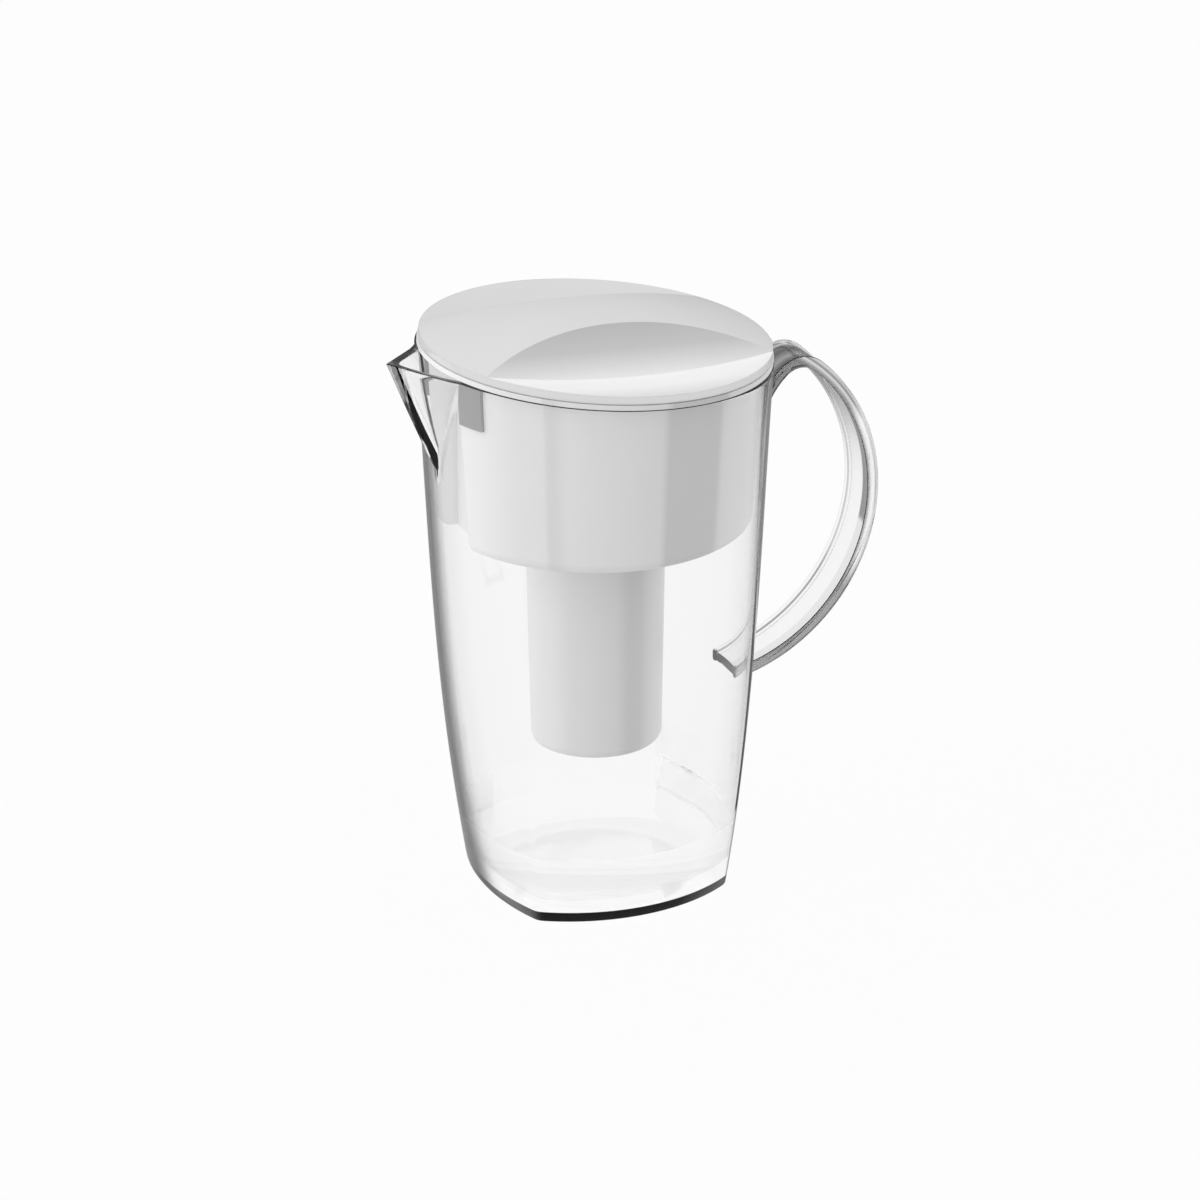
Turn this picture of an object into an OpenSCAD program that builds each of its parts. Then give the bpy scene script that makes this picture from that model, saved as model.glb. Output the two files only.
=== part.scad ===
// Water filter pitcher: a clear jug with a V spout and a ribbon handle, a white
// filter reservoir that hangs in its mouth, a lid that flips up at the handle
// end, and a lift-out filter cartridge in the sleeve below the reservoir.
// Millimetres, +Z up, origin at the centre of the flat base, spout towards -X.

/* [Jug] */
// Height of the rim above the table, on the jug's axis
body_h = 243; // [225:0.5:265]
// Outer radius of the round rim
rim_r = 76.3; // [73:0.2:82]
// Slope of the rim, with the spout end higher
rim_tilt = 4.1; // [2:0.1:6]
// Half length of the square base, from spout side to handle side
base_x = 51.4; // [49:0.2:56]
// Half width of the square base
base_y = 52.4; // [49:0.2:56]
// Corner of the base, along the jug
corner_x = 44.8; // [43:0.2:46]
// Corner of the base, across the jug
corner_y = 38.6; // [37:0.2:40]
// Wall of the jug
wall = 3; // [2.4:0.1:3.6]
// Thickness of the jug's floor
floor_t = 8; // [6:0.5:12]
// Radius of the shallow round dish in the floor
dish_r = 39; // [34:0.5:41]
// Depth of that dish
dish_d = 1; // [0.5:0.1:2]

/* [Spout] */
// How far the spout's tip stands out from the rim
spout_reach = 19.2; // [14:0.2:24]
// How far the tip rises above the rim's plane
spout_rise = 2.8; // [0:0.2:8]
// Half the angle between the spout's two sides
spout_half = 49.5; // [42:0.5:54]
// Height at which the spout starts to leave the wall
spout_foot = 200.5; // [185:0.5:208]

/* [Handle] */
// Outer radius of the handle's big arc
grip_r = 81.4; // [76:0.2:86]
// Centre of the big arc, out from the jug's axis
grip_x = 48.6; // [45:0.2:54]
// Centre of the big arc, above the table
grip_z = 164; // [158:0.2:170]
// Outer radius of the small arc where the handle turns down to the wall
crest_r = 15.2; // [13:0.2:20]
// Angle on the big arc where the small arc starts
crest_at = 49; // [45:1:55]
// Angle on the small arc where the root arc starts
root_at = 132; // [120:1:145]
// Outer radius of the root arc, which runs into the wall
root_r = 40; // [30:1:60]
// Width of the handle's ribbon
ribbon_w = 24; // [20:0.5:30]
// Thickness of the ribbon at its beaded edges
ribbon_t = 5.2; // [4:0.2:7]
// Width of the bead along each edge
bead_w = 3; // [2:0.2:4]
// How far the ribbon's web lies below the beads, inside and outside
bead_h = 1; // [0.5:0.1:1.4]

/* [Reservoir] */
// Depth of the tub below the jug's rim
tub_depth = 76; // [60:0.1:90]
// Clearance between the tub and the jug's inside
tub_gap = 1.8; // [1.6:0.1:4]
// Wall of the tub
tub_wall = 2.2; // [1.6:0.1:2.6]
// Outer rounding between the tub's side and floor
tub_round = 6; // [4:0.5:8]
// Thickness of the flange that sits on the jug's rim
flange_t = 2.2; // [1.6:0.1:3]
// How far the flange's edge lies inside the jug's rim
flange_inset = 0.4; // [0.2:0.1:1]
// Half the width of the pouring channel at the spout end
channel_y = 17; // [12:0.5:17.5]
// Depth of the pouring channel into the tub
channel_d = 12; // [8:0.5:15]
// Height of the two locating pads beside the spout
pad_h = 19; // [12:0.5:26]
// Width of each pad, as an angle on the tub
pad_angle = 10.5; // [7:0.5:14]
// Angle from the spout to the near edge of each pad
pad_from = 15; // [14.5:0.5:18]

/* [Sleeve] */
// Length of the sleeve below the tub
sleeve_h = 101.6; // [80:0.2:115]
// Outer radius of the sleeve at its bottom
sleeve_r = 28.8; // [28:0.2:32]
// Growth of the sleeve's radius from bottom to top
sleeve_draft = 1.6; // [0.5:0.1:2.5]
// Wall of the sleeve
sleeve_wall = 1.8; // [1.4:0.1:2.2]
// Width of the collar that hangs the sleeve on the tub's floor
collar_w = 3.4; // [2.5:0.1:5]
// Thickness of that collar
collar_t = 2; // [1.5:0.1:3]

/* [Cartridge] */
// Clearance between the cartridge and the sleeve
cart_gap = 0.6; // [0.4:0.1:0.9]
// Wall of the cartridge housing
cart_wall = 1.4; // [1:0.1:2]
// Thickness of the seal ring under the cartridge's cap
seal_t = 1.8; // [1.2:0.1:2.4]
// Height of the cap's domed top
cap_h = 8; // [6:0.5:11]
// Radius of the folding pull ring
ring_r = 12; // [10:0.5:14]
// Thickness of the pull ring's bar
ring_bar = 3; // [2.4:0.2:3.6]

/* [Lid] */
// Height of the lid's skirt
skirt_h = 3.4; // [2.8:0.1:5]
// How far the lid's edge lies inside the flange's edge
lid_inset = 0.6; // [0.4:0.1:1.2]
// Height of the lid's dome above its edge
dome_h = 12.8; // [11:0.2:15]
// Wall of the lid
lid_wall = 2.2; // [1.8:0.1:2.6]
// Distance of each finger scoop's valley from the middle line
scoop_y = 41; // [38:0.5:46]
// Depth of the valley below the lid's edge
scoop_d = 3.6; // [2.5:0.1:4.2]
// Slope of the scoop's inner wall
scoop_slope = 34; // [30:0.5:38]
// Radius of the hinge's rod
rod_r = 1.2; // [1:0.05:1.4]
// Running clearance of the rod in the knuckle
rod_gap = 0.05; // [0.02:0.01:0.09]
// Half the length of the hinge's middle knuckle
knuckle_y = 12; // [9:0.5:14]
// Width of each of the lid's two hinge lugs
lug_w = 4.7; // [3.5:0.1:5.5]

/* [Hidden] */
$fn = 96;
eps = 0.01;
big = 400;
seat = 0.2;          // gap where one body rests on another

// Outline of the jug, as a radius for each direction and height
base_rx = (pow(corner_y, 2) + pow(base_x - corner_x, 2)) / (2 * (base_x - corner_x));
base_ry = (pow(corner_x, 2) + pow(base_y - corner_y, 2)) / (2 * (base_y - corner_y));
corner_a = atan2(corner_y, corner_x);
tip_z = body_h + tan(rim_tilt) * (rim_r + spout_reach) + spout_rise;

function disc_ray(cx, cy, r, a) =
    let (b = cx * abs(cos(a)) + cy * abs(sin(a)))
    b + sqrt(r * r - cx * cx - cy * cy + b * b);
function base_ray(a) =
    min(disc_ray(base_x - base_rx, 0, base_rx, a), disc_ray(0, base_y - base_ry, base_ry, a));
function swell(z) = let (t = z / body_h) t * (2.24 + t * (-2.19 + t * 0.95));
function body_ray(a, z) = base_ray(a) * (1 - swell(z)) + rim_r * swell(z);

// Spout: two straight sides that meet at a tip, leaving the wall above the foot
function off_spout(a) = abs(180 - a);
function tip_x(z) =
    body_ray(180, z) + spout_reach * pow(max(0, z - spout_foot) / (tip_z - spout_foot), 0.9);
function vee_ray(a, reach) =
    off_spout(a) > 60 ? 0 : reach * sin(spout_half) / sin(spout_half + off_spout(a));
function outer_ray(a, z) = max(body_ray(a, z), vee_ray(a, tip_x(z)));
function inner_ray(a, z) =
    max(body_ray(a, z) - wall,
        min(vee_ray(a, tip_x(z) - wall / sin(spout_half)),
            (tip_x(z) - 2.2 * wall) / max(0.5, cos(off_spout(a)))));

// Height of the sloping rim, with the spout's sides rising to the tip
function rim_z(x) =
    body_h - tan(rim_tilt) * x
    + spout_rise * max(0, (-x - rim_r + 1.6) / (spout_reach + 1.6));

spout_n = 12;
side_n = 7;
angles = [
    for (i = [0 : side_n - 1]) i * corner_a / side_n,
    for (i = [0 : side_n - 1]) corner_a + i * (90 - corner_a) / side_n,
    for (i = [0 : side_n - 1]) 90 + i * (90 - corner_a) / side_n,
    for (i = [0 : spout_n - 1]) 180 - corner_a + i * corner_a / spout_n,
    for (i = [0 : spout_n - 1]) 180 + i * corner_a / spout_n,
    for (i = [0 : side_n - 1]) 180 + corner_a + i * (90 - corner_a) / side_n,
    for (i = [0 : side_n - 1]) 270 + i * (90 - corner_a) / side_n,
    for (i = [0 : side_n - 1]) 360 - corner_a + i * corner_a / side_n
];
ring_n = len(angles);
upper_n = 6;
levels = [0.06, 0.15, 0.28, 0.46, 0.69];   // of the spout foot's height

function at(a, r, z) = [r * cos(a), r * sin(a), z];
function outer_low(z, inset) = [for (a = angles) at(a, body_ray(a, z) - inset, z)];
function inner_low(z, inset) = [for (a = angles) at(a, body_ray(a, z) - wall - inset, z)];
function outer_up(k) = [
    for (a = angles)
        let (x = outer_ray(a, body_h) * cos(a), z = spout_foot + (rim_z(x) - spout_foot) * k / upper_n)
        at(a, outer_ray(a, z), z)
];
function inner_up(k) = [
    for (a = angles)
        let (x = inner_ray(a, body_h) * cos(a), z = spout_foot + (rim_z(x) - spout_foot) * k / upper_n)
        at(a, inner_ray(a, z), z)
];
jug_rings = [
    outer_low(0, 1.6),
    outer_low(0.6, 0.5),
    outer_low(1.8, 0),
    for (f = levels) outer_low(f * spout_foot, 0),
    for (k = [0 : upper_n]) outer_up(k),
    for (k = [upper_n : -1 : 0]) inner_up(k),
    for (i = [len(levels) - 1 : -1 : 1]) inner_low(levels[i] * spout_foot, 0),
    inner_low(floor_t + 5, 0),
    inner_low(floor_t + 1.4, 1.6),
    inner_low(floor_t, 5),
    [for (a = angles) at(a, dish_r, floor_t)],
    [for (a = angles) at(a, dish_r - dish_d, floor_t - dish_d)]
];

// Reservoir, sleeve and cartridge levels and radii
tub_z = body_h - tub_depth;
tub_top = body_h + tan(rim_tilt) * rim_r + 6;
flange_r = rim_r - flange_inset;
function tub_r(z) =
    let (low = body_ray(0, tub_z) - wall - tub_gap, high = rim_r - wall - tub_gap)
    low + (high - low) * (z - tub_z) / tub_depth;
channel_x = tub_r(tub_z) - channel_d + tub_gap;
sleeve_top_r = sleeve_r + sleeve_draft;
sleeve_z = tub_z - sleeve_h;
collar_z = tub_z + tub_wall;
collar_r = sleeve_top_r + collar_w;
seal_z = collar_z + collar_t + seat;
cart_z = sleeve_z + sleeve_wall + cart_gap;
cart_low_r = sleeve_r - sleeve_wall - cart_gap;
cart_top_r = sleeve_top_r - sleeve_wall - cart_gap;
cap_z = seal_z + seal_t;
cap_r = collar_r - 1;
pivot_z = cap_z + 2 + cap_h + ring_bar / 2 + 0.4;
ear_y = ring_r + ring_bar / 2 + 0.3;

// Lid levels, counted up from the jug's rim in its sloping plane
lid_z = flange_t + seat;
edge_z = lid_z + skirt_h;
lid_r = flange_r - lid_inset;
dome_r = (lid_r * lid_r + dome_h * dome_h) / (2 * dome_h);
mouth_r = tub_r(body_h) - tub_wall - 1;
rib_t = 1.6;
knuckle_r = rod_r + 1;
axis_x = lid_r - 2.5;
axis_z = knuckle_r + 0.8;

// Children stand on the jug's sloping rim
module on_rim() {
    translate([0, 0, body_h + seat])
        rotate([0, rim_tilt, 0])
            children();
}

// Outline of a round tapering cup, with a tangent rounding at its foot
module cup_profile(low_r, high_r, low_z, high_z, round) {
    lean = atan((high_r - low_r) / (high_z - low_z));
    run = round / tan((90 + lean) / 2);
    polygon([
        [0, low_z],
        [low_r - run, low_z],
        [low_r - run, low_z + round],
        [low_r + run * sin(lean), low_z + run * cos(lean)],
        [high_r, high_z],
        [0, high_z]
    ]);
    intersection() {
        translate([low_r - run, low_z + round])
            circle(r = round);
        translate([0, low_z])
            square([high_r, 2 * round]);
    }
}

// A ring sector of the handle's side view, inwards from its outer radius
module arc_band(cx, cz, outer, thick, from, to) {
    translate([cx, cz])
        intersection() {
            difference() {
                circle(r = outer, $fn = 200);
                circle(r = outer - thick, $fn = 200);
            }
            polygon([
                [0, 0],
                for (i = [0 : 8])
                    let (a = from + (to - from) * i / 8)
                    2 * outer * [cos(a), sin(a)]
            ]);
        }
}

// Everything above the floor of one scoop and outside its inner wall,
// let down and pushed in by a skin
module scoop_cut(side, skin) {
    half = lid_r - 13;
    floor_r = half * half / (2 * scoop_d);
    rise = atan(scoop_d / (lid_r - scoop_y));
    mirror([0, side < 0 ? 1 : 0, 0])
        difference() {
            translate([0, scoop_y, edge_z - scoop_d])
                rotate([-scoop_slope, 0, 0])
                    translate([-big / 2, -big / 2, -skin])
                        cube([big, big, big]);
            translate([0, scoop_y, edge_z - scoop_d - skin])
                rotate([rise, 0, 0])
                    difference() {
                        translate([-big / 2, -big / 2, -big])
                            cube([big, big, big + 60]);
                        translate([0, -big, floor_r])
                            rotate([-90, 0, 0])
                                cylinder(h = 2 * big, r = floor_r, $fn = 360);
                    }
        }
}

// Children stay inside the lid's dome, a skin thinner
module dome(skin) {
    translate([0, 0, edge_z + dome_h - dome_r])
        sphere(r = dome_r - skin, $fn = 360);
}

// Lofted shell: square base with rounded sides, round sloping rim, V spout
module jug_body() {
    n = len(jug_rings);
    color([0.86, 0.92, 0.95, 0.5])
        polyhedron(
            points = [for (ring = jug_rings) each ring],
            faces = [
                [for (i = [0 : ring_n - 1]) i],
                for (j = [0 : n - 2], i = [0 : ring_n - 1])
                    let (k = (i + 1) % ring_n)
                    each [
                        [j * ring_n + i, (j + 1) * ring_n + i, (j + 1) * ring_n + k],
                        [j * ring_n + i, (j + 1) * ring_n + k, j * ring_n + k]
                    ],
                [for (i = [ring_n - 1 : -1 : 0]) (n - 1) * ring_n + i]
            ]
        );
}

// Side view of the ribbon: the big arc, the small one and the root, all tangent
module handle_side(inset) {
    cx = grip_x + (grip_r - crest_r) * cos(crest_at);
    cz = grip_z + (grip_r - crest_r) * sin(crest_at);
    rx = cx - (root_r - crest_r) * cos(root_at);
    rz = cz - (root_r - crest_r) * sin(root_at);
    thick = ribbon_t - 2 * inset;
    arc_band(grip_x, grip_z, grip_r - inset, thick, -90, crest_at);
    arc_band(cx, cz, crest_r - inset, thick, crest_at - eps, root_at);
    arc_band(rx, rz, root_r - inset, thick, root_at - eps, root_at + 26);
}

// Ribbon handle with a bead along each edge, cut to the wall at both ends
module handle() {
    color([0.82, 0.9, 0.94, 0.6])
        difference() {
            rotate([90, 0, 0]) {
                linear_extrude(ribbon_w, center = true)
                    handle_side(bead_h);
                for (s = [-1, 1])
                    translate([0, 0, s * (ribbon_w - bead_w) / 2])
                        linear_extrude(bead_w, center = true)
                            handle_side(0);
            }
            handle_root();
        }
}

// Space of the jug's wall, up to where the handle's two ends are welded to it
module handle_root() {
    weld = 1.8;
    low = grip_z - grip_r;
    high = grip_z + grip_r;
    rotate([90, 0, 0])
        linear_extrude(2 * ribbon_w, center = true)
            polygon([
                [0, low - 10],
                [body_ray(0, low) - weld, low - 10],
                for (i = [0 : 10])
                    let (z = low + (high - low) * i / 10)
                    [body_ray(0, z) - weld, z],
                [0, high]
            ]);
}

module channel_box(skin) {
    translate([-channel_x - big + skin, -channel_y - skin, -big])
        cube([big, 2 * (channel_y + skin), 2 * big]);
}

// Tub with a flange on the jug's rim, a pouring channel at the spout end,
// a hole in its floor for the sleeve and the lid's hinge knuckle
module reservoir_tub() {
    color([0.94, 0.94, 0.93])
        difference() {
            union() {
                intersection() {
                    difference() {
                        rotate_extrude()
                            cup_profile(tub_r(tub_z), tub_r(tub_top), tub_z, tub_top, tub_round);
                        channel_box(0);
                    }
                    on_rim()
                        translate([-big / 2, -big / 2, -big])
                            cube([big, big, big + eps]);
                }
                on_rim()
                    difference() {
                        cylinder(h = flange_t, r = flange_r, $fn = 200);
                        translate([axis_x - 3.6, -knuckle_y - lug_w - 4, -1])
                            cube([20, 2 * (knuckle_y + lug_w + 4), flange_t + 2]);
                    }
                on_rim() {
                    translate([axis_x, 0, axis_z])
                        rotate([90, 0, 0])
                            cylinder(h = 2 * knuckle_y, r = knuckle_r, center = true);
                    translate([axis_x - 4.6, -knuckle_y, 0.8])
                        cube([4.6, 2 * knuckle_y, axis_z - 0.8]);
                }
            }
            difference() {
                rotate_extrude()
                    cup_profile(tub_r(tub_z) - tub_wall, tub_r(tub_top) - tub_wall,
                        tub_z + tub_wall, tub_top, tub_round - tub_wall);
                intersection() {
                    channel_box(tub_wall);
                    on_rim()
                        translate([-big / 2, -big / 2, -big])
                            cube([big, big, big + flange_t]);
                }
            }
            translate([0, 0, tub_z - 1])
                cylinder(h = tub_wall + 2, r = sleeve_top_r + 0.1);
            on_rim()
                translate([axis_x, 0, axis_z])
                    rotate([90, 0, 0])
                        cylinder(h = 2 * knuckle_y + 2, r = rod_r + rod_gap, center = true);
        }
}

// Soft pads that steady the tub in the jug on both sides of the spout
module pad(side) {
    high = body_h + tan(rim_tilt) * tub_r(body_h) * cos(pad_from + pad_angle) - 1;
    low = high - pad_h;
    thick = tub_gap - 2 * seat;
    color([0.62, 0.62, 0.62])
        mirror([0, side < 0 ? 1 : 0, 0])
            rotate([0, 0, 180 - pad_from - pad_angle])
                rotate_extrude(angle = pad_angle)
                    polygon([
                        [tub_r(low), low],
                        [tub_r(low) + thick, low],
                        [tub_r(high) + thick, high],
                        [tub_r(high), high]
                    ]);
}

// Cup below the tub that holds the cartridge, hung by its collar
module cartridge_sleeve() {
    slots = 8;
    color([0.93, 0.93, 0.92])
        difference() {
            union() {
                rotate_extrude()
                    cup_profile(sleeve_r, sleeve_top_r, sleeve_z, collar_z, 4);
                translate([0, 0, collar_z])
                    cylinder(h = collar_t, r = collar_r);
            }
            rotate_extrude()
                cup_profile(sleeve_r - sleeve_wall, sleeve_top_r - sleeve_wall,
                    sleeve_z + sleeve_wall, collar_z, 4 - sleeve_wall);
            translate([0, 0, collar_z - eps])
                cylinder(h = collar_t + 1, r = sleeve_top_r - sleeve_wall);
            for (i = [0 : slots - 1])
                rotate([0, 0, i * 360 / slots])
                    translate([sleeve_r / 2, 0, sleeve_z - 1])
                        cylinder(h = sleeve_wall + 2, r = 2.4);
        }
}

// White lid: round skirt, low dome and two finger scoops that leave a grip band
module lid_shell() {
    color([0.97, 0.97, 0.97])
        on_rim()
            difference() {
                union() {
                    intersection() {
                        difference() {
                            union() {
                                translate([0, 0, lid_z])
                                    cylinder(h = 40, r = lid_r, $fn = 200);
                                translate([0, 0, -0.4])
                                    cylinder(h = 40, r = mouth_r, $fn = 200);
                            }
                            scoop_cut(1, 0);
                            scoop_cut(-1, 0);
                            lid_cavity();
                            channel_cover();
                        }
                        dome(0);
                    }
                    lid_rib();
                    lid_lugs();
                }
                hinge_space();
            }
}

module lid_cavity() {
    difference() {
        intersection() {
            translate([0, 0, -5])
                cylinder(h = 45, r = lid_r - lid_wall, $fn = 200);
            dome(lid_wall);
        }
        scoop_cut(1, lid_wall);
        scoop_cut(-1, lid_wall);
    }
}

// Ring under the lid that finds the tub's mouth
module lid_rib() {
    difference() {
        intersection() {
            translate([0, 0, -2])
                cylinder(h = 22, r = mouth_r, $fn = 200);
            dome(lid_wall / 2);
        }
        translate([0, 0, -3])
            cylinder(h = 40, r = mouth_r - rib_t, $fn = 200);
        scoop_cut(1, lid_wall / 2);
        scoop_cut(-1, lid_wall / 2);
        channel_cover();
    }
}

// The part of the flange and of the wall below it that closes the channel,
// with room around it
module channel_cover() {
    room = 0.8;
    half = channel_y + tub_wall + room;
    translate([-channel_x + tub_wall + room - big, -half, lid_z - big])
        cube([big, 2 * half, big]);
}

module lid_lugs() {
    intersection() {
        for (s = [-1, 1])
            translate([axis_x, s * (knuckle_y + 0.3 + lug_w / 2), axis_z]) {
                rotate([90, 0, 0])
                    cylinder(h = lug_w, r = knuckle_r, center = true);
                translate([-knuckle_r, -lug_w / 2, 0])
                    cube([2 * knuckle_r, lug_w, 10]);
            }
        union() {
            translate([0, 0, lid_z])
                cylinder(h = 40, r = lid_r, $fn = 200);
            translate([axis_x, 0, axis_z])
                rotate([90, 0, 0])
                    cylinder(h = 60, r = knuckle_r, center = true);
        }
        dome(0);
    }
}

// Room for the knuckle and its web under the lid's edge, and the rod's bore
module hinge_space() {
    translate([axis_x, 0, axis_z])
        rotate([90, 0, 0]) {
            cylinder(h = 2 * (knuckle_y + 0.3), r = knuckle_r + 0.35, center = true);
            cylinder(h = 2 * (knuckle_y + lug_w + 1), r = rod_r, center = true);
        }
    translate([axis_x - 5, -knuckle_y - 0.3, -1])
        cube([5, 2 * (knuckle_y + 0.3), axis_z + 1.4]);
    translate([axis_x, -knuckle_y - 0.3, -1])
        cube([10, 2 * (knuckle_y + 0.3), axis_z + 1 + 0.8]);
}

// Flat plate that closes the lid's underside, inside the rib
module lid_liner() {
    color([0.9, 0.9, 0.9])
        on_rim()
            difference() {
                translate([0, 0, -1.9])
                    cylinder(h = 1.4, r = mouth_r - rib_t - 0.1);
                channel_cover();
            }
}

module hinge_rod() {
    color([0.7, 0.7, 0.72])
        on_rim()
            translate([axis_x, 0, axis_z])
                rotate([90, 0, 0])
                    cylinder(h = 2 * (knuckle_y + 0.3 + lug_w), r = rod_r, center = true);
}

// Cartridge housing: a tapering cup with outlet holes in its floor
module cartridge_housing() {
    holes = 12;
    color([0.88, 0.9, 0.92])
        difference() {
            rotate_extrude()
                cup_profile(cart_low_r, cart_top_r, cart_z, cap_z, 2.4);
            rotate_extrude()
                cup_profile(cart_low_r - cart_wall, cart_top_r - cart_wall,
                    cart_z + cart_wall, cap_z + 1, 0.2);
            for (i = [0 : holes - 1])
                rotate([0, 0, i * 360 / holes])
                    translate([0.62 * cart_low_r, 0, cart_z - 1])
                        cylinder(h = cart_wall + 2, r = 2);
        }
}

// Cap on the housing: a rim on the seal ring, a low dome with inlet slots,
// and two ears for the pull ring
module cartridge_cap() {
    slots = 10;
    top_z = cap_z + 2 + cap_h;
    color([0.9, 0.91, 0.93])
        difference() {
            union() {
                translate([0, 0, cap_z])
                    cylinder(h = 2, r = cap_r);
                translate([0, 0, cap_z + 2])
                    cylinder(h = cap_h, r1 = cap_r - 5, r2 = ear_y + 3);
                for (s = [-1, 1])
                    translate([0, s * (ear_y + 1.2), 0]) {
                        translate([0, 0, pivot_z])
                            rotate([90, 0, 0])
                                cylinder(h = 2.4, r = 2.4, center = true);
                        translate([-2.4, -1.2, top_z - 1])
                            cube([4.8, 2.4, pivot_z - top_z + 1]);
                    }
            }
            translate([0, 0, cap_z - 1])
                cylinder(h = cap_h + 1.4, r1 = cap_r - 6.4, r2 = ear_y + 1.4);
            for (i = [0 : slots - 1])
                rotate([0, 0, (i + 0.5) * 360 / slots])
                    translate([cap_r - 12, -1.1, cap_z + 3])
                        cube([14, 2.2, cap_h / 2]);
            translate([0, 0, pivot_z])
                rotate([90, 0, 0])
                    cylinder(h = 3 * ear_y, r = 1.06, center = true);
        }
}

module seal_ring() {
    color([0.3, 0.31, 0.33])
        difference() {
            translate([0, 0, seal_z])
                cylinder(h = seal_t, r = cap_r);
            translate([0, 0, seal_z - 1])
                cylinder(h = seal_t + 2, r = cart_top_r + 0.1);
        }
}

// Folding ring that pulls the cartridge out, with a pivot at each end
module pull_ring() {
    color([0.35, 0.6, 0.8])
        translate([0, 0, pivot_z]) {
            rotate([0, 0, -90])
                rotate_extrude(angle = 180)
                    translate([ring_r, 0])
                        circle(d = ring_bar);
            for (s = [-1, 1]) {
                translate([0, s * ring_r, 0])
                    sphere(d = ring_bar);
                translate([0, s * (ring_r + 1.9), 0])
                    rotate([90, 0, 0])
                        cylinder(h = 3.8, r = 1, center = true);
            }
        }
}

// Layers inside the cartridge, from the outlet up
layer_r = cart_low_r - cart_wall - 0.3;
layer_z = cart_z + cart_wall;
mesh_t = 0.8;
felt_t = 3;
bed_h = cap_z - layer_z - 2 * mesh_t - 3 * felt_t - 4;
resin_h = 0.4 * bed_h;
carbon_h = bed_h - resin_h;
module layer(from, height, tint) {
    color(tint)
        translate([0, 0, from])
            cylinder(h = height, r = layer_r);
}

module outlet_screen() { layer(layer_z, mesh_t, [0.8, 0.8, 0.82]); }
module felt_bottom() { layer(layer_z + mesh_t, felt_t, [0.95, 0.95, 0.93]); }
module resin_bed() { layer(layer_z + mesh_t + felt_t, resin_h, [0.85, 0.7, 0.4]); }
module felt_middle() {
    layer(layer_z + mesh_t + felt_t + resin_h, felt_t, [0.95, 0.95, 0.93]);
}
module carbon_bed() {
    layer(layer_z + mesh_t + 2 * felt_t + resin_h, carbon_h, [0.15, 0.15, 0.16]);
}
module felt_top() {
    layer(layer_z + mesh_t + 2 * felt_t + bed_h, felt_t, [0.95, 0.95, 0.93]);
}
module inlet_screen() {
    layer(layer_z + mesh_t + 3 * felt_t + bed_h, mesh_t, [0.8, 0.8, 0.82]);
}

jug_body();
handle();
reservoir_tub();
pad(-1);  // pad_front
pad(1);  // pad_back
cartridge_sleeve();
lid_shell();
lid_liner();
hinge_rod();
cartridge_housing();
cartridge_cap();
seal_ring();
pull_ring();
inlet_screen();
felt_top();
carbon_bed();
felt_middle();
resin_bed();
felt_bottom();
outlet_screen();
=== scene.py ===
"""Water filter pitcher: a clear jug, its filter reservoir with sleeve and cartridge,
and a white lid that flips up at the handle end. Sizes are in metres, as in the frame.
"""

import math

import bmesh
import bpy
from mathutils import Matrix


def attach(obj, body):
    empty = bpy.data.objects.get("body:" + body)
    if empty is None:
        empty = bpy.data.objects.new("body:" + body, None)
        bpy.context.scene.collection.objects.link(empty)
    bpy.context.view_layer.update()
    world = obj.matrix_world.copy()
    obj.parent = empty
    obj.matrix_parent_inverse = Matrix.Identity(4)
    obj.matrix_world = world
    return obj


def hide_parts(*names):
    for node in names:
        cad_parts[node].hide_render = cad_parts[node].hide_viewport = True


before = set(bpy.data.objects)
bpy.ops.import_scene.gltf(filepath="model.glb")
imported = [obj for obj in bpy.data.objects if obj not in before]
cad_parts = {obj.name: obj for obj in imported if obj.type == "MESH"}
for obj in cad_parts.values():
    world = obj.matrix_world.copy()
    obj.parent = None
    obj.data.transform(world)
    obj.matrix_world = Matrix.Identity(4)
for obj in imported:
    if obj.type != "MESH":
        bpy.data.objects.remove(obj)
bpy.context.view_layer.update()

# ---------------------------------------------------------------------------
# Camera
# A long lens, turned towards the spout and looking down on the lid, from so far
# away that the jug's sides keep their true taper.

view_azimuth, view_elevation, view_distance = -24.5, 23.082, 2.9219
view_aim = (0.002326, 0.0, 0.127317)


def put(name, data):
    """A new object in the scene."""
    made = bpy.data.objects.new(name, data)
    bpy.context.scene.collection.objects.link(made)
    return made


def stand_off(thing, aim, azimuth, elevation, distance):
    """Stands a camera or lamp off the aim and turns it there. Azimuth 0 is the front."""
    a, e = math.radians(azimuth), math.radians(elevation)
    thing.location = (
        aim[0] + distance * math.sin(a) * math.cos(e),
        aim[1] - distance * math.cos(a) * math.cos(e),
        aim[2] + distance * math.sin(e),
    )
    thing.rotation_euler = (math.pi / 2 - e, 0, a)


lens = bpy.data.cameras.new("lens")
lens.sensor_width = 36
lens.lens = 203.55
camera = put("camera", lens)
stand_off(camera, view_aim, view_azimuth, view_elevation, view_distance)
bpy.context.scene.camera = camera
bpy.context.scene.view_settings.view_transform = "Standard"

# ---------------------------------------------------------------------------
# Studio
# A white sweep and sky. They show plain white to the camera and through clear
# plastic, and darker in reflections, so that polished edges read. One soft lamp
# stands on the left.


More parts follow.
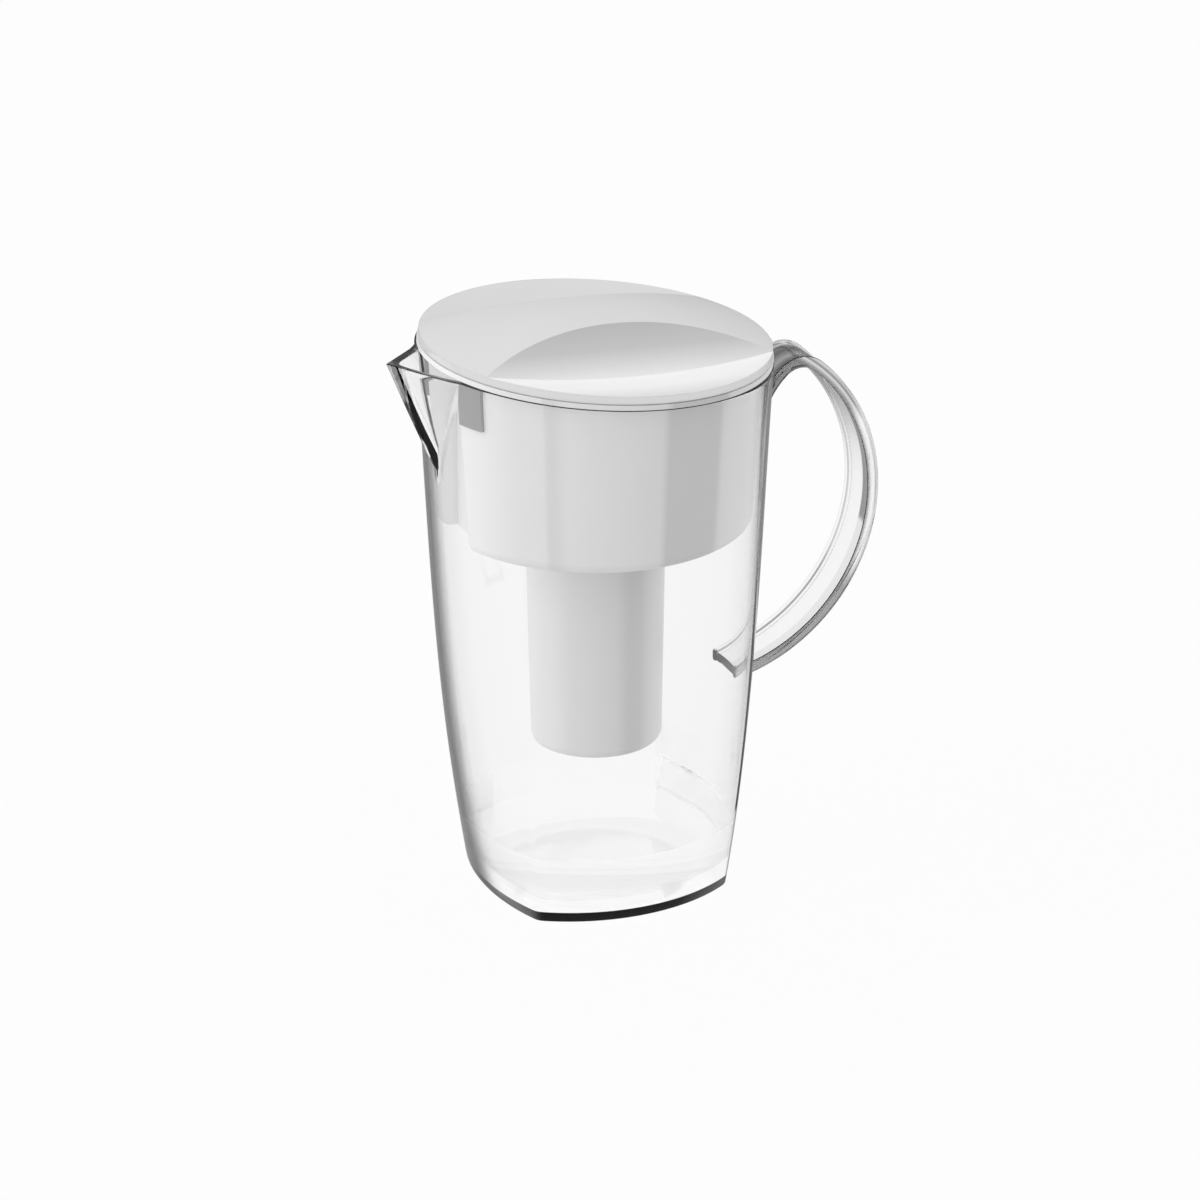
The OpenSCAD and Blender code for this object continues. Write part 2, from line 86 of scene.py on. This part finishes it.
class Wire:
    """An output socket. Arithmetic on it adds Math nodes to its tree."""

    def __init__(self, tree, out=None):
        self.tree = tree
        self.out = out

    def node(self, kind, sockets=None, out=0, stops=None, **settings):
        """Adds a node, sets it up, fills its sockets and returns one output."""
        made = self.tree.nodes.new(kind)
        for name, value in settings.items():
            setattr(made, name, value)
        if stops:
            marks = made.color_ramp.elements
            marks[0].position, marks[1].position = stops[0][0], stops[-1][0]
            for stop in stops[1:-1]:
                marks.new(stop[0])
            for i, stop in enumerate(stops):
                marks[i].color = (stop[1], stop[1], stop[1], 1)
        for name, value in (sockets or {}).items():
            same_name = [s for s in made.inputs if s.name == name and s.enabled]
            socket = same_name[0] if same_name else made.inputs[name]
            if isinstance(value, Wire):
                self.tree.links.new(value.out, socket)
            else:
                socket.default_value = value
        outs = [s for s in made.outputs if s.enabled]
        if not outs:
            return None
        return Wire(self.tree, made.outputs[out] if isinstance(out, str) else outs[out])

    def maths(self, operation, *values, clamp=False):
        sockets = dict(enumerate(values))
        return self.node("ShaderNodeMath", sockets, operation=operation, use_clamp=clamp)

    def __add__(self, other):
        return self.maths("ADD", self, other)

    def __sub__(self, other):
        return self.maths("SUBTRACT", self, other)

    def __rsub__(self, other):
        return self.maths("SUBTRACT", other, self)

    def __mul__(self, other):
        return self.maths("MULTIPLY", self, other)

    def __truediv__(self, other):
        return self.maths("DIVIDE", self, other)

    __radd__ = __add__
    __rmul__ = __mul__

    def here(self):
        """The point's place on the object."""
        return self.node("ShaderNodeTexCoord", out="Object")

    def axis(self, name):
        """One coordinate of this vector."""
        return self.node("ShaderNodeSeparateXYZ", {0: self}, out=name)

    def ramp(self, *stops):
        """Grey stops over this value."""
        return self.node("ShaderNodeValToRGB", {"Fac": self}, stops=stops)

    def above(self, edge, soft):
        """1 above an edge and 0 below it, with a soft step."""
        sockets = {"Value": self, "From Min": edge - soft, "From Max": edge + soft}
        return self.node("ShaderNodeMapRange", sockets, interpolation_type="SMOOTHSTEP")

    def below(self, edge, soft):
        return 1 - self.above(edge, soft)

    def blend(self, low, high):
        """A colour between low and high, by this value."""
        sockets = {"Factor": self, "A": low, "B": high}
        return self.node("ShaderNodeMix", sockets, data_type="RGBA")

    def tint(self, other):
        """This colour times another, or times a grey value."""
        other = other[:3] if isinstance(other, tuple) else other
        return self.node("ShaderNodeVectorMath", {0: self, 1: other}, operation="MULTIPLY")


def fresh(owner):
    """Empties the node tree of a world or material, and starts a wire in it."""
    owner.use_nodes = True
    owner.node_tree.nodes.clear()
    return Wire(owner.node_tree)


def ray(start, kind):
    """What the Light Path node says of the ray."""
    return start.node("ShaderNodeLightPath", out=kind)


def mirrored(start):
    """1 for a reflected ray that has passed through no surface since."""
    return ray(start, "Is Glossy Ray") * (1 - ray(start, "Is Transmission Ray"))


reflected_white = 0.35

sky = bpy.data.worlds.new("sky")
bpy.context.scene.world = sky
start = fresh(sky)
strength = 1 - mirrored(start) * (1 - reflected_white)
dome = start.node("ShaderNodeBackground", {"Color": (1, 1, 1, 1), "Strength": strength})
start.node("ShaderNodeOutputWorld", {"Surface": dome})

floor_half = 6
floor_drop = 0.0002
floor_shadow = 0.1
paper_white = (0.8, 0.8, 0.8, 1)

floor_mesh = bpy.data.meshes.new("floor")
floor_mesh.from_pydata(
    [(x * floor_half, y * floor_half, 0) for x, y in ((-1, -1), (1, -1), (1, 1), (-1, 1))],
    [],
    [(0, 1, 2, 3)],
)
floor = put("floor", floor_mesh)
floor.location.z = -floor_drop

sweep = bpy.data.materials.new("sweep")
start = fresh(sweep)
paper = start.node("ShaderNodeBsdfDiffuse", {"Color": paper_white})
first_bounce = ray(start, "Ray Depth").below(1.5, 0.2)
strength = 1 - mirrored(start) * first_bounce * (1 - reflected_white)
glow = start.node("ShaderNodeEmission", {"Color": (1, 1, 1, 1), "Strength": strength})
seen = ray(start, "Is Camera Ray") + ray(start, "Is Glossy Ray")
seen = start.maths("ADD", seen, ray(start, "Is Transmission Ray"), clamp=True)
mixed = start.node("ShaderNodeMixShader", {0: seen * (1 - floor_shadow), 1: paper, 2: glow})
start.node("ShaderNodeOutputMaterial", {"Surface": mixed})
floor_mesh.materials.append(sweep)

lamp = bpy.data.lights.new("left box", "AREA")
lamp.shape = "RECTANGLE"
lamp.size, lamp.size_y = 1.0, 1.2
lamp.energy = 2.5
lamp_aim = (0, 0, 0.2)
lamp_azimuth, lamp_elevation, lamp_distance = -100, 30, 1.6
box = put("left box", lamp)
stand_off(box, lamp_aim, lamp_azimuth, lamp_elevation, lamp_distance)
box.visible_camera = False
box.visible_transmission = False

# ---------------------------------------------------------------------------
# Jug body
# Clear moulded plastic in one piece: a square base with bowed sides that lofts
# to a round sloping rim, a thick floor with a shallow dish, and a V spout.

mm = 0.001
body_h = 243 * mm
rim_r = 76.3 * mm
rim_slope = math.tan(math.radians(4.1))
base_x, base_y = 51.4 * mm, 52.4 * mm
corner_x, corner_y = 44.8 * mm, 38.6 * mm
corner_round = 0.45 * mm
swell = (2.24, -2.19, 0.95)  # by powers of the height, 1 in all at the rim
wall = 3 * mm
floor_t = 8 * mm
dish_r, dish_d = 39 * mm, 1 * mm
edge_z = 5.2 * mm

spout_reach, spout_rise = 19.2 * mm, 2.8 * mm
spout_half = math.radians(49.5)
spout_foot = 200.5 * mm
spout_bow = 0.9
spout_turn = 1  # radians off the middle, past which the spout can't reach
rise_inset = 1.6 * mm
throat_back, throat_round = 1.7 * wall, 1.2 * mm
tip_back = wall / math.sin(spout_half)
tip_z = body_h + rim_slope * (rim_r + spout_reach) + spout_rise

side_r = (corner_y**2 + (base_x - corner_x) ** 2) / (2 * (base_x - corner_x))
front_r = (corner_x**2 + (base_y - corner_y) ** 2) / (2 * (base_y - corner_y))


def disc_ray(cx, cy, radius, angle):
    """Distance from the jug's axis to an off-centre circle."""
    along = cx * abs(math.cos(angle)) + cy * abs(math.sin(angle))
    return along + math.sqrt(radius**2 - cx**2 - cy**2 + along**2)


def eased_min(a, b, ease):
    """The lower of two distances, with the corner where they cross rounded."""
    return min(a, b) - ease * math.log(1 + math.exp(-abs(a - b) / ease))


def base_ray(angle):
    side = disc_ray(base_x - side_r, 0, side_r, angle)
    front = disc_ray(0, base_y - front_r, front_r, angle)
    return eased_min(side, front, corner_round)


def body_ray(angle, z):
    """The wall's outer face, from the square base to the round rim."""
    t = z / body_h
    share = t * (swell[0] + t * (swell[1] + t * swell[2]))
    return base_ray(angle) * (1 - share) + rim_r * share


def tip_x(z):
    """How far out the spout's keel is."""
    share = max(0, z - spout_foot) / (tip_z - spout_foot)
    return body_ray(math.pi, z) + spout_reach * share**spout_bow


def vee_ray(angle, reach):
    """The spout's two straight sides, which meet at its keel."""
    off = abs(math.pi - angle)
    if off > spout_turn:
        return 0
    return reach * math.sin(spout_half) / math.sin(spout_half + off)


def outer_ray(angle, z):
    return max(body_ray(angle, z), vee_ray(angle, tip_x(z)))


def inner_ray(angle, z):
    """The inner face. The spout's throat is flat across its corner."""
    vee = vee_ray(angle, tip_x(z) - tip_back)
    if vee > 0:
        flat = (tip_x(z) - throat_back) / math.cos(math.pi - angle)
        vee = eased_min(vee, flat, throat_round)
    return max(body_ray(angle, z) - wall, vee)


def rim_z(x):
    rise = max(0, (-x - rim_r + rise_inset) / (spout_reach + rise_inset))
    return body_h - rim_slope * x + spout_rise * rise


least_crease, most_crease = math.radians(1.2), 0.9
halvings = 40


def crease(z, inner):
    """How far off the middle the spout's side runs into the round wall."""
    inset = wall if inner else 0
    reach = tip_x(z) - (tip_back if inner else 0)
    low, high = 0.0, most_crease
    for _ in range(halvings):
        middle = (low + high) / 2
        if vee_ray(math.pi - middle, reach) > body_ray(math.pi - middle, z) - inset:
            low = middle
        else:
            high = middle
    return max(low, least_crease)


vee_n, round_n = 26, 150
low_n, high_n, dish_n = 30, 16, 8


def turns(z, inner=False):
    """Angles of one ring from the keel on, with points on both of the spout's creases."""
    edge = crease(z, inner)
    half = [math.pi - edge * i / vee_n for i in range(vee_n)]
    half += [(math.pi - edge) * (1 - i / round_n) for i in range(round_n)]
    return half + [0.0] + [2 * math.pi - a for a in reversed(half[1:])]


def spot(angle, radius, z):
    return (radius * math.cos(angle), radius * math.sin(angle), z)


def low_ring(z, inset=0.0):
    return [spot(a, body_ray(a, z) - inset, z) for a in turns(spout_foot)]


def high_ring(share, inner=False, inset=0.0, drop=0.0):
    """A ring at a share of the way from the spout's foot to the sloping rim."""
    ring_ray = inner_ray if inner else outer_ray
    points = []
    for angle in turns(spout_foot + (body_h - spout_foot) * share, inner):
        x = ring_ray(angle, body_h) * math.cos(angle)
        z = spout_foot + (rim_z(x) - spout_foot) * share - drop
        points.append(spot(angle, ring_ray(angle, z) - inset, z))
    return points


def floor_ring(radius, sink):
    return [spot(a, radius, floor_t - sink) for a in turns(spout_foot)]


# Height and inset, in mm, of each ring that rounds the foot and the floor's edge,
# and drop and inset of each that rounds the lip
foot_round = ((0, 1.6), (0.12, 0.95), (0.5, 0.35), (1.1, 0.05))
floor_round = ((4.5, 0.05), (2.8, 0.6), (1.5, 1.6), (0.6, 3.0), (0.1, 5.0), (0, 6.5))
lip_round = ((0.35, 0), (0.1, 0.1), (0, 0.35))
dish_from, dish_step = 2, 0.75
wall_rise = [edge_z + (spout_foot - edge_z) * i / low_n for i in range(1, low_n + 1)]

jug_rings = [low_ring(height * mm, inset * mm) for height, inset in foot_round]
edge_rings = len(jug_rings)
jug_rings.append(low_ring(edge_z))
jug_rings += [low_ring(z) for z in wall_rise]
jug_rings += [high_ring(i / high_n) for i in range(1, high_n)]
jug_rings += [high_ring(1, False, inset * mm, drop * mm) for drop, inset in lip_round]
lip_rings = len(jug_rings) - 1
jug_rings += [high_ring(1, True, -inset * mm, drop * mm) for drop, inset in reversed(lip_round)]
jug_rings += [high_ring(i / high_n, True) for i in range(high_n - 1, 0, -1)]
jug_rings += [low_ring(z, wall) for z in reversed(wall_rise[2:])]
floor_rings = len(jug_rings) - 2
for height, inset in floor_round:
    jug_rings.append(low_ring(floor_t + height * mm, wall + inset * mm))
for i in range(dish_n + 1):
    sink = dish_d * (1 - math.cos(math.pi * i / dish_n)) / 2
    jug_rings.append(floor_ring(dish_r + (dish_from - dish_step * i) * mm, sink))
jug_rings += [floor_ring(dish_r * share, dish_d) for share in (0.7, 0.4, 0.12)]


def loft(name, rings, sharp=30):
    """A closed mesh through loops of equal length, capped at both ends."""
    n = len(rings[0])
    faces = [tuple(range(n))]
    for j in range(len(rings) - 1):
        for i in range(n):
            k = (i + 1) % n
            faces.append((j * n + i, j * n + k, (j + 1) * n + k, (j + 1) * n + i))
    last = (len(rings) - 1) * n
    faces.append(tuple(last + i for i in range(n)))
    mesh = bpy.data.meshes.new(name)
    mesh.from_pydata([p for loop in rings for p in loop], [], faces)
    skin = bmesh.new()
    skin.from_mesh(mesh)
    bmesh.ops.recalc_face_normals(skin, faces=skin.faces)
    skin.to_mesh(mesh)
    skin.free()
    mesh.shade_smooth()
    mesh.set_sharp_from_angle(angle=math.radians(sharp))
    return put(name, mesh)


def material(name):
    """A new material: its first wire, and a function that closes it."""
    made = bpy.data.materials.new(name)
    start = fresh(made)

    def close(**sockets):
        named = {}
        for key, value in sockets.items():
            named[key.replace("_", " ").title().replace("Ior", "IOR")] = value
        shader = start.node("ShaderNodeBsdfPrincipled", named)
        start.node("ShaderNodeOutputMaterial", {"Surface": shader})
        return made

    return start, close


def edge_on(start):
    """0 where a face is seen square on, and 1 where it is seen edge on."""
    return start.node("ShaderNodeLayerWeight", {"Blend": 0.5}, out="Facing")


def from_inside(start):
    """1 where a ray meets a face from inside the plastic."""
    return start.node("ShaderNodeNewGeometry", out="Backfacing")


def noise(vector, scale, detail):
    sockets = {"Vector": vector, "Scale": scale, "Detail": detail}
    return vector.node("ShaderNodeTexNoise", sockets)


clear_tint = (0.985, 0.985, 0.985, 1)
# Painted shade: the wall stops darken clear plastic where it is seen edge on, in place of the
# dark edges that reflections inside the wall give; the pale stops darken it a little.
wall_stops = ((0.45, 0.99), (0.60, 0.93), (0.66, 0.78), (0.72, 0.45), (0.80, 0.17), (1.0, 0.10))
pale_stops = ((0.0, 0.99), (0.7, 0.97), (0.9, 0.85), (1.0, 0.7))


def clear_plastic(name, stops, shade=None, body=None):
    """Polished clear plastic, with painted shade where a wall is seen edge on.
    The shader takes the root of a colour at each face, so the tint is squared.
    Scattered light and shadow rays pass, so the pieces inside are fully lit."""
    start, close = material(name)
    passing = ray(start, "Is Diffuse Ray") + ray(start, "Is Shadow Ray")
    solid = start.maths("SUBTRACT", 1, passing, clamp=True)
    entering = edge_on(start).ramp(*stops)
    if shade:
        entering = entering.tint(shade(start))
    return close(
        base_color=from_inside(start).blend(entering.tint(entering), clear_tint),
        roughness=0.012,
        ior=1.45,
        transmission_weight=1.0,
        alpha=solid * body(start) if body else solid,
    )


def compass(start):
    """The side that a point is on, as a share of a turn: 0.25 the spout, 0.5 the front."""
    here = start.here()
    return start.maths("ARCTAN2", here.axis("X"), 0 - here.axis("Y")) / (2 * math.pi) + 0.5


def base_edge_shade(start):
    """Painted shade: the base's edge is black at the front and grey at both sides."""
    return compass(start).ramp(
        (0.0, 0.10), (0.28, 0.32), (0.352, 0.12), (0.368, 0.0), (0.55, 0.0), (0.62, 0.10),
        (0.66, 0.32), (1.0, 0.10),
    )


def painted_flecks(start, low, soft):
    """Small light flecks, which break up the painted shade along the spout's edges."""
    return noise(start.here(), 260.0, 2.0).above(low, soft)


def lip_shade(start):
    """Painted shade: the rim's top face is dark along the spout's two straight edges, broken by
    painted flecks.
    """
    dark, fleck = 0.98, 0.4
    spout_side = start.here().axis("X").below(-68 * mm, 3 * mm)
    return 1 - spout_side * (dark - painted_flecks(start, 0.58, 0.06) * fleck)


def keel_body(start):
    """Painted shade: the spout's keel reads light at the top and dark towards its foot."""
    light, dark, fleck = 0.45, 0.38, 0.12
    lower = start.here().axis("Z").below(233.5 * mm, 1.5 * mm)
    return lower * dark + light + painted_flecks(start, 0.5, 0.1) * fleck


def floor_body(start):
    """The floor's inner face is faint, and clearer still at its rounded edge."""
    edge, middle = 0.08, 0.12
    here = start.here()
    x, y = here.axis("X"), here.axis("Y")
    from_axis = start.maths("SQRT", x * x + y * y)
    return from_axis.below(dish_r + 3 * mm, 2 * mm) * middle + edge


clearing = 0.93


def wall_body(start):
    """The lowest part of the wall is as clear as the floor, unless edge on."""
    low = start.here().axis("Z").below(15 * mm, 1.5 * mm)
    outline = edge_on(start).above(0.66, 0.1) * (1 - from_inside(start))
    return 1 - low * (1 - outline) * clearing


def edge_body(start):
    """Seen from inside, the base's edge is clear."""
    return 1 - from_inside(start) * clearing


jug = loft("jug_shell", jug_rings)
jug_finishes = {
    "wall": clear_plastic("clear_wall", wall_stops, None, wall_body),
    "base edge": clear_plastic("clear_base_edge", wall_stops, base_edge_shade, edge_body),
    "lip": clear_plastic("clear_lip", wall_stops, lip_shade),
    "floor": clear_plastic("clear_floor", pale_stops, None, floor_body),
    "keel": clear_plastic("clear_keel", pale_stops, None, keel_body),
    "spout": clear_plastic("clear_spout", pale_stops),
    "inner wall": clear_plastic("clear_inner_wall", pale_stops, None, wall_body),
}
for made in jug_finishes.values():
    jug.data.materials.append(made)

keel_n = 6
ring_n = len(jug_rings[0])


def jug_finish(face):
    """The finish of one face, from its lowest ring and its distance off the keel."""
    ring = min(face.vertices) // ring_n
    off_keel = max(min(v % ring_n, ring_n - v % ring_n) for v in face.vertices)
    if len(face.vertices) > 4 or ring >= floor_rings:
        return "floor"
    if ring < edge_rings:
        return "base edge"
    if abs(ring - lip_rings) <= 2:
        return "lip"
    if abs(ring - lip_rings) < high_n + 2 and off_keel <= vee_n:
        return "keel" if off_keel <= keel_n and ring < lip_rings else "spout"
    return "wall" if ring < lip_rings else "inner wall"


for face in jug.data.polygons:
    face.material_index = list(jug_finishes).index(jug_finish(face))
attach(jug, "jug")
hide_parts("jug_body")

# ---------------------------------------------------------------------------
# Handle
# A clear moulded ribbon with a round bead along each edge, welded to the wall
# under the rim and low on the back.

grip_r, grip_x, grip_z = 81.4 * mm, 48.6 * mm, 164 * mm
crest_r, root_r = 15.2 * mm, 40 * mm
crest_at, root_at, root_end, foot_end = 49, 132, 160, -84
ribbon_w, ribbon_t = 24 * mm, 5.2 * mm
bead_w, bead_h = 3 * mm, 1 * mm
bead_round, web_round, web_depth = 1.1 * mm, 0.5 * mm, 0.7 * mm
web_flat = 0.4  # where the web's middle points are, as a share of half its width
weld = 1.8 * mm

crest_x = grip_x + (grip_r - crest_r) * math.cos(math.radians(crest_at))
crest_z = grip_z + (grip_r - crest_r) * math.sin(math.radians(crest_at))
root_x = crest_x - (root_r - crest_r) * math.cos(math.radians(root_at))
root_z = crest_z - (root_r - crest_r) * math.sin(math.radians(root_at))
arcs = (
    (root_x, root_z, root_r, root_end, root_at, 10),
    (crest_x, crest_z, crest_r, root_at, crest_at, 30),
    (grip_x, grip_z, grip_r, crest_at, foot_end, 130),
)


def corner(depth, y, round_r, turn_from, turn_to, n):
    """Points of a rounded corner, as depth below the outer face and y."""
    turn = [math.radians(turn_from + (turn_to - turn_from) * i / (n - 1)) for i in range(n)]
    return [(depth - round_r * math.sin(t), y + round_r * math.cos(t)) for t in turn]


half_w = ribbon_w / 2
web_y = half_w - bead_w
quarter = corner(bead_round, half_w - bead_round, bead_round, 0, 90, 6)
quarter += corner(web_depth, web_y + web_round, web_round, 90, 140, 3)
quarter += [(bead_h, web_y - web_round), (bead_h, half_w * web_flat)]
outer_half = quarter + [(d, -y) for d, y in reversed(quarter)]
profile = outer_half + [(ribbon_t - d, y) for d, y in reversed(outer_half)]

handle_rings = []
for cx, cz, radius, turn_from, turn_to, n in arcs:
    for i in range(n + (turn_to == foot_end)):
        turn = math.radians(turn_from + (turn_to - turn_from) * i / n)
        ring = []
        for depth, y in profile:
            x = cx + (radius - depth) * math.cos(turn)
            z = cz + (radius - depth) * math.sin(turn)
            ring.append((max(x, body_ray(0, z) - weld), y, z))
        if max(p[0] - body_ray(0, p[2]) + weld for p in ring) > 0.05 * mm:
            handle_rings.append(ring)


def ribbon_shade(start):
    """Painted shade and reflections: greys along the ribbon, apart for its inner face, outer
    face and two sides.
    The near side's bead is the darkest, and both faces darken at the crest."""
    here = start.here()
    out_x, out_z = here.axis("X") - grip_x, here.axis("Z") - grip_z
    across = here.axis("Y") / ribbon_w + 0.5
    distance = start.maths("SQRT", out_x * out_x + out_z * out_z)
    depth = (grip_r - distance) / ribbon_t
    turn = start.maths("ARCTAN2", out_z, out_x) * (180 / math.pi)
    along = turn / 180 + 0.5

    inner_near = along.ramp(
        (0.0, 0.88), (0.425, 0.86), (0.435, 0.32), (0.58, 0.32), (0.61, 0.27), (0.67, 0.19),
        (0.72, 0.14),
    )
    inner_far = along.ramp(
        (0.0, 1.0), (0.5, 1.0), (0.56, 0.92), (0.61, 0.74), (0.67, 0.56), (0.72, 0.48)
    )
    inner = across.above(0.31, 0.02).blend(inner_near, inner_far)

    outer_crest = across.ramp(
        (0.0, 0.16), (0.12, 0.10), (0.30, 0.35), (0.55, 0.12), (0.75, 0.22), (0.88, 0.8),
        (1.0, 0.85),
    )
    outer = turn.above(42, 5).blend((0.95, 0.95, 0.95, 1), outer_crest)

    side_low = depth.ramp((0.0, 0.75), (0.15, 0.38), (0.8, 0.36), (1.0, 0.28))
    side_middle = depth.ramp(
        (0.0, 0.6), (0.15, 0.8), (0.35, 0.7), (0.5, 1.0), (0.75, 0.85), (0.9, 0.5), (1.0, 0.35)
    )
    side_high = depth.ramp(
        (0.0, 0.75), (0.2, 0.65), (0.38, 0.25), (0.55, 0.75), (0.8, 0.35), (1.0, 0.25)
    )
    upper_side = turn.above(27, 5).blend(side_middle, side_high)
    sides = turn.above(-30, 6).blend(side_low, upper_side)

    normal = start.node("ShaderNodeNewGeometry", out="Normal")
    outward = (normal.axis("X") * out_x + normal.axis("Z") * out_z) / distance
    is_side = start.maths("ABSOLUTE", normal.axis("Y")).above(0.6, 0.15)
    return is_side.blend(outward.above(0, 0.2).blend(inner, outer), sides)


handle = loft("handle_ribbon", handle_rings, 40)
handle.data.materials.append(clear_plastic("clear_ribbon", pale_stops, ribbon_shade))
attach(handle, "jug")
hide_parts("handle")

# ---------------------------------------------------------------------------
# Reservoir tub
# Satin white moulded plastic: a tapering tub with a flange on the jug's rim, a
# pouring channel at the spout end and the middle knuckle of the lid's hinge.


def studio_tone(start, *stops):
    """Soft uprights of light and shade round the axis, by degrees from the front."""
    return compass(start).ramp(*[((angle + 180) / 360, shade) for angle, shade in stops])


def relief(height, strength, depth, **normal):
    """A bump of this depth, over another normal where one is given."""
    sockets = {"Strength": strength, "Distance": depth, "Height": height}
    return height.node("ShaderNodeBump", {**sockets, **normal})


def moulded(name, colour, roughness, edge, grain=900.0, depth=0.02 * mm):
    """Moulded plastic of one colour, or of the tones that a function gives.
    Fine grain shows in its tone and its bump, and its edges are eased."""
    start, close = material(name)
    here = start.here()
    fine, cloud = noise(here, grain, 3.0), noise(here, 35.0, 2.0)
    eased = start.node("ShaderNodeBevel", {"Radius": edge}, samples=6)
    tone = fine.ramp((0.25, 0.985), (0.75, 1.0)).tint(cloud.ramp((0.3, 0.985), (0.7, 1.0)))
    tone = tone.tint(colour(start) if callable(colour) else colour)
    bump = relief(fine, 0.5, depth, Normal=eased)
    return close(base_color=tone, roughness=roughness, normal=bump)


def finish(made, *nodes):
    """Gives CAD nodes one material."""
    for node in nodes:
        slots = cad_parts[node].data.materials
        slots.clear()
        slots.append(made)


# Painted light and shade: uprights round the tub that stand in for the studio's reflections and
# shade.
def tub_painted_light(start):
    return studio_tone(
        start,
        (-180, 0.88), (-95, 0.92), (-79, 0.96), (-74, 0.95), (-62, 0.87), (-52, 0.80),
        (-42, 0.78), (-40.5, 0.69), (-38, 0.70), (-34, 0.76), (-15, 0.71), (-1, 0.66),
        (1.5, 0.53), (22, 0.52), (24.5, 0.66), (38, 0.73), (55, 0.85), (90, 0.88), (180, 0.88),
    )


finish(moulded("satin_tub", tub_painted_light, 0.32, 0.4 * mm), "reservoir_tub")

# ---------------------------------------------------------------------------
# Pads
# Soft grey elastomer on the tub, one on each side of the channel. They steady
# the tub against the jug's wall.

pad_grey = (0.36, 0.36, 0.36, 1)
grey_elastomer = moulded("grey_elastomer", pad_grey, 0.6, 0.3 * mm, 1400.0, 0.05 * mm)
finish(grey_elastomer, "pad_front", "pad_back")

# ---------------------------------------------------------------------------
# Cartridge sleeve
# A satin white moulded cup that holds the cartridge. It hangs by its collar in
# the hole of the tub's floor, and has outlet holes.


# Painted light and shade: uprights round the sleeve that stand in for the studio's reflections
# and shade.
def sleeve_painted_light(start):
    return studio_tone(
        start,
        (-180, 0.82), (-90, 0.86), (-60, 0.79), (-46, 0.72), (-24, 0.68), (-6, 0.63), (0, 0.58),
        (6, 0.54), (16, 0.55), (24, 0.62), (34, 0.68), (90, 0.82), (180, 0.82),
    )


finish(moulded("satin_sleeve", sleeve_painted_light, 0.35, 0.4 * mm), "cartridge_sleeve")

# ---------------------------------------------------------------------------
# Lid
# Glossy white shell with a low dome and two finger scoops. A satin plate closes
# its underside, and a steel rod through two lugs is its hinge.

lid_reach = 0.08
lid_white = (0.74, 0.74, 0.74, 1)
liner_white = (0.72, 0.72, 0.71, 1)


def lid_painted_light(start):
    """Painted highlight and shade: the front scoop's floor is painted light, and both scoops'
    walls are painted shaded inwards.
    """
    y = start.here().axis("Y")
    normal = start.node("ShaderNodeTexCoord", out="Normal")
    off_middle = start.maths("ABSOLUTE", y) / lid_reach
    scoop_floor_highlight = off_middle.ramp((0.5, 1.0), (0.72, 0.98), (0.82, 0.9), (0.93, 0.8))
    scoop_wall_shade = off_middle.ramp((0.24, 0.50), (0.36, 0.56), (0.45, 0.72), (0.51, 0.86))
    leans_in = (y * normal.axis("Y")).below(-0.0015, 0.001)
    tone = (leans_in * y.below(0, 0.001)).blend(lid_white, scoop_floor_highlight)
    nz = normal.axis("Z")
    steep = nz.above(0.75, 0.03) - nz.above(0.9, 0.03)
    return steep.blend(tone, scoop_wall_shade)


finish(moulded("gloss_lid", lid_painted_light, 0.2, 0.7 * mm, 700.0, 0.01 * mm), "lid_shell")
finish(moulded("satin_liner", liner_white, 0.4, 0.3 * mm), "lid_liner")

start, close = material("drawn_steel")
drawn = start.node("ShaderNodeMapping", {"Vector": start.here(), "Scale": (4000, 40, 4000)})
lines = noise(drawn, 1.0, 2.0)
steel = lines.ramp((0.3, 0.52), (0.7, 0.6))
finish(close(base_color=steel, metallic=1.0, roughness=lines * 0.15 + 0.22), "hinge_rod")

# ---------------------------------------------------------------------------
# Cartridge
# Blue-grey housing and slotted cap, a dark seal ring under the cap's rim, and a
# blue ring that folds up to pull the cartridge out.

for node, colour, roughness in (
    ("cartridge_housing", (0.66, 0.70, 0.74, 1), 0.38),
    ("cartridge_cap", (0.68, 0.72, 0.76, 1), 0.35),
    ("seal_ring", (0.03, 0.03, 0.032, 1), 0.55),
    ("pull_ring", (0.06, 0.20, 0.45, 1), 0.25),
):
    finish(moulded(node + "_finish", colour, roughness, 0.3 * mm), node)

# ---------------------------------------------------------------------------
# Filter layers
# Woven screens at both ends, needled felts, packed carbon granules and amber
# resin beads.

thread_scale = 700.0

start, close = material("woven_screen")
weave = {"Vector": start.here(), "Scale": thread_scale}
warp = start.node("ShaderNodeTexWave", weave, 1, bands_direction="X")
weft = start.node("ShaderNodeTexWave", weave, 1, bands_direction="Y")
threads = start.maths("MAXIMUM", warp, weft)
tone = threads.ramp((0.2, 0.25), (0.8, 0.72))
screen = close(base_color=tone, roughness=0.5, normal=relief(threads, 0.8, 0.1 * mm))
finish(screen, "inlet_screen", "outlet_screen")

start, close = material("needled_felt")
fuzz = noise(start.here(), 1800.0, 6.0)
tone = fuzz.ramp((0.3, 0.62), (0.7, 0.82))
felt = close(base_color=tone, roughness=0.95, normal=relief(fuzz, 0.9, 0.2 * mm))
finish(felt, "felt_top", "felt_middle", "felt_bottom")

# The first colour lies between the grains and is darker, as painted shade there; the second
# lies on the grains' tops.
for node, grain, grain_top, scale in (
    ("carbon_bed", (0.006, 0.006, 0.007, 1), (0.05, 0.05, 0.055, 1), 900.0),
    ("resin_bed", (0.30, 0.15, 0.04, 1), (0.72, 0.45, 0.16, 1), 1300.0),
):
    start, close = material(node + "_grains")
    sockets = {"Vector": start.here(), "Scale": scale}
    grains = start.node("ShaderNodeTexVoronoi", sockets, "Distance")
    tone = grains.below(0.45, 0.2).blend(grain, grain_top)
    packed = close(base_color=tone, roughness=0.55, normal=relief(1 - grains, 1.0, 0.6 * mm))
    finish(packed, node)
